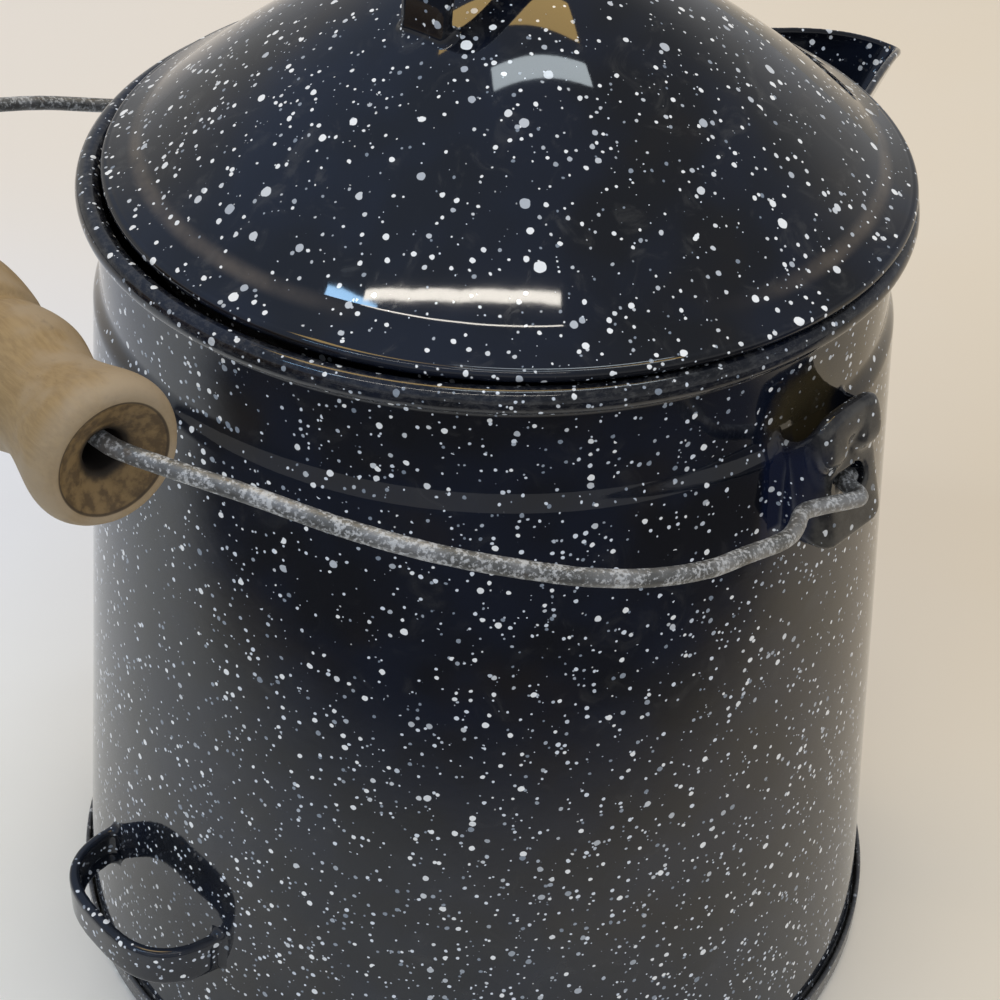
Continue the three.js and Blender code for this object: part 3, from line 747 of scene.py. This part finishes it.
def grip():
    half = GRIP_LENGTH / 2
    knots = [(along * half, share * GRIP_R) for along, share in GRIP_PROFILE_SHARES]
    outer = [(r, a) for a, r in spline(knots, 150)]
    profile = outer[3:-3]
    end = [
        (outer[-1][0] - 0.5, half - 0.1),
        (GRIP_DISH_R + 1.0, half - 0.2),
        (GRIP_DISH_R + 0.2, half - 0.4),
        (GRIP_DISH_R - 0.5, half - 1.1),
        (GRIP_DISH_R - 1.6, half - 1.6),
        (GRIP_BORE_R + 2.0, half - GRIP_DISH_DEPTH + 0.9),
        (GRIP_BORE_R + 0.6, half - GRIP_DISH_DEPTH + 0.2),
        (GRIP_BORE_R, half - GRIP_DISH_DEPTH - 0.8),
    ]
    profile = profile + end + [(r, -a) for r, a in reversed(end)]
    made = lathed("wooden_grip", profile, steps=GRIP_ROUND_STEPS)
    made.data.transform(Matrix.Rotation(math.pi / 2, 4, "X"))
    place = Vector((
        PIVOT_X - BAIL_REACH * math.cos(BAIL_REST_ANGLE),
        0.0,
        PIVOT_Z + BAIL_REACH * math.sin(BAIL_REST_ANGLE) - GRIP_DROP,
    ))
    made.location = place * MM
    return made


# Materials


class Nodes:
    """Short calls for building a material's nodes."""

    def __init__(self, name):
        self.material = bpy.data.materials.new(name)
        self.material.use_nodes = True
        self.tree = self.material.node_tree
        self.tree.nodes.clear()
        self.shader = self.tree.nodes.new("ShaderNodeBsdfPrincipled")
        out = self.tree.nodes.new("ShaderNodeOutputMaterial")
        self.tree.links.new(self.shader.outputs[0], out.inputs["Surface"])
        coordinates = self.tree.nodes.new("ShaderNodeTexCoord")
        self.place = self.vector("SCALE", coordinates.outputs["Object"], scale=1 / MM)

    def put(self, socket, value):
        if isinstance(value, bpy.types.NodeSocket):
            self.tree.links.new(value, socket)
        else:
            socket.default_value = value

    def math(self, operation, a, b=0.0):
        made = self.tree.nodes.new("ShaderNodeMath")
        made.operation = operation
        self.put(made.inputs[0], a)
        self.put(made.inputs[1], b)
        return made.outputs[0]

    def times(self, a, b):
        return self.math("MULTIPLY", a, b)

    def plus(self, a, b):
        return self.math("ADD", a, b)

    def minus(self, a, b):
        return self.math("SUBTRACT", a, b)

    def size(self, a):
        return self.math("ABSOLUTE", a)

    def square(self, a):
        return self.math("POWER", a, 2.0)

    def hypot(self, a, b):
        return self.math("SQRT", self.plus(self.square(a), self.square(b)))

    def off(self, value, middle, half):
        """How far a value is from a middle, in half widths."""
        return self.math("DIVIDE", self.minus(value, middle), half)

    def towards(self, direction):
        """How far a place lies in a level direction."""
        return self.plus(
            self.times(self.axis("X"), direction[0]), self.times(self.axis("Y"), direction[1])
        )

    def vector(self, operation, a, b=(0.0, 0.0, 0.0), scale=1.0):
        made = self.tree.nodes.new("ShaderNodeVectorMath")
        made.operation = operation
        self.put(made.inputs[0], a)
        if operation == "SCALE":
            made.inputs["Scale"].default_value = scale
        else:
            self.put(made.inputs[1], b)
        return made.outputs[0]

    def noise(self, size, detail=2.0, rough=0.5, place=None, distortion=0.0):
        made = self.tree.nodes.new("ShaderNodeTexNoise")
        self.put(made.inputs["Vector"], place or self.place)
        made.inputs["Scale"].default_value = 1 / size
        made.inputs["Detail"].default_value = detail
        made.inputs["Roughness"].default_value = rough
        made.inputs["Distortion"].default_value = distortion
        return made.outputs["Fac"]

    def cells(self, size, place=None):
        made = self.tree.nodes.new("ShaderNodeTexVoronoi")
        self.put(made.inputs["Vector"], place or self.place)
        made.inputs["Scale"].default_value = 1 / size
        split = self.tree.nodes.new("ShaderNodeSeparateColor")
        self.tree.links.new(made.outputs["Color"], split.inputs[0])
        return self.math("MULTIPLY", made.outputs["Distance"], size), split.outputs

    def ramp(self, value, low, high, to_low=0.0, to_high=1.0):
        made = self.tree.nodes.new("ShaderNodeMapRange")
        made.interpolation_type = "SMOOTHSTEP"
        self.put(made.inputs["Value"], value)
        self.put(made.inputs["From Min"], low)
        self.put(made.inputs["From Max"], high)
        self.put(made.inputs["To Min"], to_low)
        self.put(made.inputs["To Max"], to_high)
        return made.outputs["Result"]

    def mix(self, share, a, b):
        made = self.tree.nodes.new("ShaderNodeMix")
        made.data_type = "RGBA"
        self.put(made.inputs["Factor"], share)
        self.put(made.inputs["A"], a if isinstance(a, bpy.types.NodeSocket) else (*a, 1.0))
        self.put(made.inputs["B"], b if isinstance(b, bpy.types.NodeSocket) else (*b, 1.0))
        return made.outputs["Result"]

    def axis(self, name):
        split = self.tree.nodes.new("ShaderNodeSeparateXYZ")
        self.tree.links.new(self.place, split.inputs[0])
        return split.outputs[name]

    def stirred(self, place, size, amount):
        made = self.tree.nodes.new("ShaderNodeTexNoise")
        self.put(made.inputs["Vector"], place)
        made.inputs["Scale"].default_value = 1 / size
        made.inputs["Detail"].default_value = 1.0
        shift = self.vector("SUBTRACT", made.outputs["Color"], (0.5, 0.5, 0.5))
        return self.vector("ADD", place, self.vector("SCALE", shift, scale=amount))

    def ray(self, name):
        return self.tree.nodes.new("ShaderNodeLightPath").outputs[name]

    def bump(self, height, depth, normal=None):
        made = self.tree.nodes.new("ShaderNodeBump")
        made.inputs["Strength"].default_value = 1.0
        made.inputs["Distance"].default_value = depth * MM
        self.put(made.inputs["Height"], height)
        if normal:
            self.put(made.inputs["Normal"], normal)
        return made.outputs["Normal"]

    def finish(self, **inputs):
        for name, value in inputs.items():
            self.put(self.shader.inputs[name.replace("_", " ")], value)
        return self.material


def dots(n, place, size, smallest, largest, share):
    """Round dots cut from random balls: how much dot there is, and a random number for each."""
    away, chance = n.cells(size, place)
    radius = n.math("POWER", chance[0], 2.0)
    radius = n.plus(n.times(radius, largest - smallest), smallest)
    shown = n.math("LESS_THAN", chance[1], share)
    edge = n.ramp(n.minus(radius, away), -0.04, 0.07)
    return n.times(edge, shown), chance[2]


def enamel(name, kinds, is_body):
    """Near-black navy enamel with white speckles of several sizes, stains, haze and waviness."""
    n = Nodes(name)
    cloud = n.noise(24.0, 2.0)
    colour = n.mix(n.ramp(cloud, 0.35, 0.65), (0.0040, 0.0048, 0.0075), (0.0052, 0.0078, 0.0165))
    stain = n.noise(38.0, 3.0, place=n.vector("ADD", n.place, (40.0, 7.0, 90.0)))
    colour = n.mix(n.times(n.ramp(stain, 0.52, 0.72), 0.6), colour, (0.0135, 0.0105, 0.0075))
    haze = n.ramp(n.noise(11.0, 6.0, 0.62, distortion=1.2), 0.54, 0.76)
    colour = n.mix(n.times(haze, 0.10 if is_body else 0.22), colour, (0.13, 0.13, 0.125))
    low = n.ramp(n.axis("Z"), 150.0, 20.0)
    if is_body:
        # Lighter bluish grey in patches towards the bottom of the body
        lighter_low_down = n.times(low, n.ramp(n.noise(30.0, 4.0, 0.6), 0.30, 0.70, 0.04, 0.19))
        colour = n.mix(lighter_low_down, colour, (0.078, 0.094, 0.118))
    stirred = n.stirred(n.place, 1.4, 0.45)
    shown = 0.0
    for k, (size, smallest, largest, share, share_low, white, dim) in enumerate(kinds):
        patchy = n.ramp(n.noise(17.0 + 6 * k, 2.0), 0.32, 0.68, 0.65, 1.35)
        wanted = n.times(n.ramp(low, 0.0, 1.0, share, share_low), patchy)
        dot, tone = dots(n, stirred, size, smallest, largest, wanted)
        colour = n.mix(dot, colour, n.mix(n.ramp(tone, 0.35, 1.0), white, dim))
        shown = n.math("MAXIMUM", shown, dot)
    rough = n.plus(n.times(haze, 0.10 if is_body else 0.04), n.times(cloud, 0.03))
    rough = n.plus(rough, 0.04 if is_body else 0.025)
    if is_body:
        colour, rough = wear_and_painted_reflection(n, colour, rough, shown)
    else:
        colour = lid_grime_and_painted_highlight(n, colour, shown)
    height = n.plus(n.times(n.noise(2.5, 1.0), 0.35), n.noise(9.0, 1.0))
    normal = n.bump(height, 0.030 if is_body else 0.005)
    return n.finish(Base_Color=colour, Roughness=rough, IOR=1.52, Normal=normal)


def wear_and_painted_reflection(n, colour, rough, shown):
    """Scuffs on rim and seam, dust on the ears, a rusty stain behind them and painted blue
    reflection on a web.
    """
    x, y, z = n.axis("X"), n.axis("Y"), n.axis("Z")
    scuff = n.noise(2.0, 6.0, 0.75, place=n.vector("MULTIPLY", n.place, (1.0, 1.0, 2.5)))
    scuff = n.times(n.ramp(scuff, 0.42, 0.70), n.ramp(z, 212.0, 215.0, 0.0, 0.34))
    seam = n.times(n.ramp(z, 8.8, 7.4), n.ramp(n.noise(5.0, 5.0, 0.7), 0.3, 0.6, 0.3, 0.65))
    scuff = n.math("MAXIMUM", scuff, n.times(seam, n.ramp(z, 0.5, 1.5)))
    colour = n.mix(scuff, colour, (0.105, 0.105, 0.105))
    rough = n.plus(rough, n.times(scuff, 0.35))

    dust = n.times(n.ramp(n.hypot(x, y), 99.5, 102.5), n.ramp(n.size(y), 85.0, 92.0))
    dust = n.times(dust, n.ramp(z, 164.0, 168.0))
    dust = n.times(dust, n.ramp(n.noise(5.0, 5.0, 0.65), 0.35, 0.62, 0.12, 0.42))
    colour = n.mix(dust, colour, (0.125, 0.118, 0.102))
    rough = n.plus(rough, n.times(dust, 0.5))

    far = n.plus(n.square(n.off(x, 8.0, 13.0)), n.square(n.off(n.size(y), 93.0, 7.0)))
    far = n.plus(far, n.square(n.off(z, 197.0, 11.0)))
    rust = n.ramp(n.plus(far, n.noise(5.0, 4.0, 0.6)), 1.9, 0.7)
    colour = n.mix(n.times(rust, 0.75), colour, (0.060, 0.046, 0.020))

    # Painted reflection: one web of each ear is painted bluer, for the blue light it would reflect
    web = n.math("MAXIMUM", n.size(n.off(x, -1.0, 4.5)), n.size(n.off(n.size(y), 98.5, 5.5)))
    web = n.math("MAXIMUM", web, n.size(n.off(z, 179.0, 14.0)))
    painted_blue_reflection = n.times(n.times(n.ramp(web, 1.25, 0.8), 0.8), n.minus(1.0, shown))
    return n.mix(painted_blue_reflection, colour, (0.005, 0.009, 0.030)), rough


def lid_grime_and_painted_highlight(n, colour, shown):
    """Grime and a painted highlight in the corner between flange and dome, except where it is
    nearest the camera.
    """
    groove = n.size(n.minus(n.hypot(n.axis("X"), n.axis("Y")), LID_GROOVE_R))
    patchy = n.ramp(n.noise(16.0, 4.0, 0.6), 0.3, 0.65, 0.25, 0.75)
    # Painted highlight, with grime: a lighter band in the corner, left out nearest the camera
    grime_and_highlight = n.times(n.ramp(groove, 2.4, 0.2), patchy)
    grime_and_highlight = n.times(grime_and_highlight, n.ramp(n.towards((-0.58, -0.81)), 78.0, 60.0))
    grime_and_highlight = n.times(grime_and_highlight, n.minus(1.0, shown))
    return n.mix(grime_and_highlight, colour, (0.105, 0.088, 0.072))


def galvanised(name):
    """Dull zinc on wire, with white bloom and grey-brown wear."""
    n = Nodes(name)
    mottle = n.noise(0.9, 5.0, 0.7)
    bloom = n.plus(n.times(mottle, 0.7), n.times(n.noise(4.5, 3.0), 0.3))
    bloom = n.ramp(bloom, 0.49, 0.57)
    wear = n.ramp(n.noise(12.0, 3.0), 0.42, 0.62)
    colour = n.mix(wear, (0.18, 0.183, 0.180), (0.32, 0.325, 0.33))
    colour = n.mix(n.times(bloom, 0.75), colour, (0.60, 0.62, 0.64))
    rust = n.noise(3.1, 3.0, place=n.vector("ADD", n.place, (5.0, 50.0, 9.0)))
    colour = n.mix(n.times(n.ramp(rust, 0.62, 0.75), 0.55), colour, (0.16, 0.12, 0.085))
    metal = n.minus(0.8, n.times(bloom, 0.5))
    rough = n.plus(0.36, n.times(mottle, 0.3))
    normal = n.bump(mottle, 0.12)
    return n.finish(Base_Color=colour, Metallic=metal, Roughness=rough, Normal=normal)


def beech(name):
    """Bare beech, turned and worn, darker in the dished ends, with painted shade around and in the
    bore.
    """
    n = Nodes(name)
    stretch = n.vector("MULTIPLY", n.place, (1.0, 0.10, 1.0))
    grain = n.noise(0.9, 5.0, 0.6, place=stretch)
    flecks, _ = n.cells(1.3, n.vector("MULTIPLY", n.place, (1.0, 0.35, 1.0)))
    patch = n.noise(13.0, 3.0)
    colour = n.mix(n.ramp(grain, 0.3, 0.7), (0.250, 0.165, 0.070), (0.320, 0.220, 0.100))
    colour = n.mix(n.times(n.ramp(patch, 0.42, 0.62), 0.8), colour, (0.325, 0.245, 0.150))
    colour = n.mix(n.ramp(flecks, 0.22, 0.06, 0.0, 0.30), colour, (0.16, 0.095, 0.045))
    soil = n.noise(6.0, 5.0, 0.7, place=n.vector("ADD", n.place, (9.0, 3.0, 1.0)))
    colour = n.mix(n.times(n.ramp(soil, 0.56, 0.76), 0.45), colour, (0.13, 0.095, 0.065))
    off_axis = n.hypot(n.axis("X"), n.axis("Z"))
    along = n.size(n.axis("Y"))
    at_end = n.times(n.ramp(along, 43.0, 48.0), n.ramp(off_axis, 11.0, 12.5))
    colour = n.mix(n.times(at_end, 0.40), colour, (0.37, 0.30, 0.215))
    in_dish = n.times(n.ramp(off_axis, 12.0, 11.4), n.ramp(along, 40.0, 42.0))
    rings = n.noise(2.2, 3.0, 0.6)
    ochre = n.mix(n.ramp(rings, 0.35, 0.65), (0.085, 0.050, 0.018), (0.205, 0.130, 0.050))
    colour = n.mix(n.times(in_dish, 0.92), colour, ochre)
    ring = n.size(n.minus(off_axis, 11.6))
    ring = n.times(n.ramp(ring, 0.35, 0.1), n.ramp(along, 46.0, 48.0))
    colour = n.mix(n.times(ring, 0.75), colour, (0.035, 0.022, 0.012))
    # Painted shade: near-black on the dish around the mouth of the bore and inside the bore
    deep = n.times(n.ramp(off_axis, 6.6, 4.6), n.ramp(along, 40.0, 42.0))
    colour = n.mix(n.times(deep, 0.93), colour, (0.012, 0.008, 0.005))
    bore = n.times(n.ramp(along, 45.8, 45.0), n.ramp(off_axis, 6.5, 6.0))
    colour = n.mix(bore, colour, (0.01, 0.007, 0.005))
    rough = n.plus(0.50, n.times(grain, 0.22))
    normal = n.bump(grain, 0.08)
    normal = n.bump(patch, 0.25, normal)
    return n.finish(Base_Color=colour, Roughness=rough, Normal=normal)


# Dressing

BRIGHT, BRIGHT_DIM = (0.84, 0.87, 0.90), (0.40, 0.44, 0.50)
SOFT, SOFT_DIM = (0.70, 0.76, 0.85), (0.20, 0.24, 0.30)
# Each kind of speckle: spacing, smallest and largest radius, share high up and low down,
# its brightest and its dimmest colour
BODY_ENAMEL = enamel(
    "speckled_enamel_body",
    (
        (1.3, 0.14, 0.30, 0.12, 0.14, SOFT, SOFT_DIM),
        (1.9, 0.30, 0.60, 0.50, 0.66, SOFT, SOFT_DIM),
        (2.9, 0.48, 0.84, 0.42, 0.52, BRIGHT, SOFT_DIM),
        (5.2, 0.70, 1.0, 0.10, 0.10, BRIGHT, BRIGHT_DIM),
    ),
    True,
)
LID_ENAMEL = enamel(
    "speckled_enamel_lid",
    (
        (1.3, 0.14, 0.28, 0.20, 0.20, SOFT, SOFT_DIM),
        (2.1, 0.30, 0.62, 0.56, 0.56, BRIGHT, SOFT_DIM),
        (3.4, 0.58, 0.95, 0.42, 0.42, BRIGHT, BRIGHT_DIM),
        (5.4, 0.95, 1.4, 0.26, 0.26, BRIGHT, BRIGHT_DIM),
    ),
    False,
)
WIRE = galvanised("galvanised_wire")
WOOD = beech("worn_beech")

for piece, carrier, node, material, slot in (
    (body(), "pot", "body_shell", BODY_ENAMEL, "enamel_body"),
    (pan(), "pot", "bottom_pan", BODY_ENAMEL, "enamel_body"),
    (spout(), "pot", "spout", BODY_ENAMEL, "enamel_body"),
    (ear("near_ear_bracket", -1), "pot", "ear_near", BODY_ENAMEL, "enamel_body"),
    (ear("far_ear_bracket", 1), "pot", "ear_far", BODY_ENAMEL, "enamel_body"),
    (tilt_handle(), "pot", "tilt_handle", BODY_ENAMEL, "enamel_body"),
    (bail(), "bail", "bail_wire", WIRE, "wire_steel"),
    (grip(), "grip", "bail_grip", WOOD, "worn_wood"),
    (lid(), "lid", "lid_shell", LID_ENAMEL, "enamel_lid"),
    (collar(), "lid", "lid_collar", LID_ENAMEL, "enamel_lid"),
    (lid_handle(), "lid", "lid_handle", LID_ENAMEL, "enamel_lid"),
):
    piece.data.materials.clear()
    piece.data.materials.append(material)
    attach(piece, carrier)
    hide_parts(node)

# Floor

FLOOR_HALF = 4000
VIEW_RIGHT = (0.749, -0.663)
VIEW_AHEAD = (0.663, 0.749)
VIEW_BACK = (-0.663, -0.749)

corners = ((-1, -1), (1, -1), (1, 1), (-1, 1))
floor = mesh_object(
    "floor", [(x * FLOOR_HALF, y * FLOOR_HALF, 0) for x, y in corners], [(0, 1, 2, 3)]
)
n = Nodes("pale_cloth_floor")
soft = n.noise(90.0, 3.0)
# Painted light on the floor: bluish to the left and warm to the right, as cool and warm light would
# make it
painted_light_tint = n.ramp(n.towards(VIEW_RIGHT), -330.0, 330.0)
ahead = n.towards(VIEW_AHEAD)
colour = n.mix(painted_light_tint, (0.755, 0.815, 0.930), (0.655, 0.550, 0.395))
# Painted light: lighter on the camera's side of the pot, to make up for the pot's shadow
near = n.mix(painted_light_tint, (0.925, 0.975, 1.0), (0.80, 0.70, 0.55))
colour = n.mix(n.ramp(ahead, 180.0, -30.0, 0.0, 0.9), colour, near)
behind = n.mix(painted_light_tint, (0.755, 0.695, 0.615), (0.725, 0.650, 0.535))
colour = n.mix(n.ramp(ahead, 150.0, 420.0, 0.0, 0.8), colour, behind)
colour = n.mix(n.times(soft, 0.25), colour, (0.70, 0.69, 0.66))
# In reflections only, the floor is dark from some way in front of the pot, so that the middle of
# the wall is as dark as in the photograph
dark = n.hypot(n.minus(n.axis("X"), 80.0), n.minus(n.axis("Y"), 90.0))
dark = n.ramp(dark, 300.0, 430.0, 0.0, 0.95)
dark = n.times(dark, n.ramp(n.towards(VIEW_BACK), 20.0, 150.0))
colour = n.mix(n.times(dark, n.ray("Is Glossy Ray")), colour, (0.05, 0.05, 0.06))
n.finish(Base_Color=colour, Roughness=n.plus(0.85, n.times(soft, 0.1)))
floor.data.materials.append(n.material)

# Light: level panels overhead, placed where the photograph's highlights lead to

PANEL_Z = 1.5
STRIP_WIDTH = 0.032
STRIP_RADIANCE = 21.0
STRIP_COLOUR = (1.0, 0.94, 0.84)
STRIP = ((-0.809, 0.154), (-0.673, -0.060), (-0.5205, -0.2515), (-0.342, -0.422), (-0.144, -0.575))


def panel(name, x, y, length, width, heading, radiance, colour):
    """A level lamp of a given radiance, its length turned by a heading in degrees."""
    light = bpy.data.lights.new(name, "AREA")
    light.shape = "RECTANGLE"
    light.size = length
    light.size_y = width
    light.energy = math.pi * length * width * radiance
    light.color = colour
    made = bpy.data.objects.new(name, light)
    made.location = (x, y, PANEL_Z)
    made.rotation_euler = (0.0, 0.0, math.radians(heading))
    bpy.context.scene.collection.objects.link(made)


for i, ((ax, ay), (bx, by)) in enumerate(zip(STRIP, STRIP[1:])):
    heading = math.degrees(math.atan2(by - ay, bx - ax))
    length = math.hypot(bx - ax, by - ay)
    x, y = (ax + bx) / 2, (ay + by) / 2
    panel(f"strip_{i + 1}", x, y, length, STRIP_WIDTH, heading, STRIP_RADIANCE, STRIP_COLOUR)
panel("sky_panel", -0.866, 0.216, 0.33, 0.055, -73.0, 20.0, (0.38, 0.66, 1.0))
panel("middle_panel", 0.27, 0.05, 0.60, 0.11, -27.0, 8.0, (0.85, 0.95, 1.0))
panel("warm_panel", 0.36, 0.46, 0.90, 0.32, -37.0, 5.0, (1.0, 0.66, 0.20))

world = bpy.data.worlds.new("studio")
world.use_nodes = True
tree = world.node_tree
direction = tree.nodes.new("ShaderNodeTexCoord").outputs["Generated"]
heights = tree.nodes.new("ShaderNodeSeparateXYZ")
tree.links.new(direction, heights.inputs[0])
sideways = tree.nodes.new("ShaderNodeVectorMath")
sideways.operation = "DOT_PRODUCT"
sideways.inputs[1].default_value = (*VIEW_RIGHT, 0.0)
tree.links.new(direction, sideways.inputs[0])
kinds = tree.nodes.new("ShaderNodeLightPath").outputs


def sky(factor, low, high, a, b):
    """One sky colour fading into another as the factor goes from low to high."""
    ramp = tree.nodes.new("ShaderNodeMapRange")
    ramp.interpolation_type = "SMOOTHSTEP"
    ramp.inputs["From Min"].default_value = low
    ramp.inputs["From Max"].default_value = high
    tree.links.new(factor, ramp.inputs["Value"])
    made = tree.nodes.new("ShaderNodeMix")
    made.data_type = "RGBA"
    tree.links.new(ramp.outputs["Result"], made.inputs["Factor"])
    for name, value in (("A", a), ("B", b)):
        if isinstance(value, tuple):
            made.inputs[name].default_value = (*value, 1.0)
        else:
            tree.links.new(value, made.inputs[name])
    return made.outputs["Result"]


# Reflections show a darker sky, bluer to the left, than the one that lights the pot
plain = sky(heights.outputs["Z"], 0.1, 0.8, (0.58, 0.61, 0.66), (0.80, 0.82, 0.86))
ceiling = sky(sideways.outputs["Value"], -0.5, 0.5, (0.35, 0.42, 0.57), (0.27, 0.28, 0.30))
glossy = sky(heights.outputs["Z"], 0.2, 0.6, (0.50, 0.50, 0.50), ceiling)
seen = sky(kinds["Is Glossy Ray"], 0.0, 1.0, plain, glossy)
seen = sky(kinds["Is Camera Ray"], 0.0, 1.0, seen, (0.80, 0.79, 0.77))
tree.links.new(seen, tree.nodes["Background"].inputs["Color"])
bpy.context.scene.world = world

# Camera, from the fit of the rim, the base and both sides in the photograph
CAMERA_DISTANCE = 0.51104
CAMERA_ELEVATION = 0.50074
CAMERA_AZIMUTH = math.radians(-131.5)
CAMERA_TILT = -0.14899
CAMERA_PAN = -0.00606
CAMERA_ROLL = -0.03691
CAMERA_LENS = 79.2

aim = Vector((0, 0, RIM_Z * MM))
away = Vector((
    math.cos(CAMERA_AZIMUTH) * math.cos(CAMERA_ELEVATION),
    math.sin(CAMERA_AZIMUTH) * math.cos(CAMERA_ELEVATION),
    math.sin(CAMERA_ELEVATION),
))
forward = -away
right = forward.cross(Vector((0, 0, 1))).normalized()
up = right.cross(forward)
turn = Matrix.Rotation(CAMERA_TILT, 3, right)
forward, up = turn @ forward, turn @ up
turn = Matrix.Rotation(CAMERA_PAN, 3, up)
forward, right = turn @ forward, turn @ right
turn = Matrix.Rotation(CAMERA_ROLL, 3, forward)
up, right = turn @ up, turn @ right

lens = bpy.data.cameras.new("camera")
lens.lens = CAMERA_LENS
lens.sensor_width = 36.0
lens.clip_start = 0.01
camera = bpy.data.objects.new("camera", lens)
camera.matrix_world = Matrix.Translation(aim + away * CAMERA_DISTANCE) @ Matrix(
    (
        (right.x, up.x, -forward.x),
        (right.y, up.y, -forward.y),
        (right.z, up.z, -forward.z),
    )
).to_4x4()
bpy.context.scene.collection.objects.link(camera)
bpy.context.scene.camera = camera
bpy.context.scene.view_settings.view_transform = "Standard"
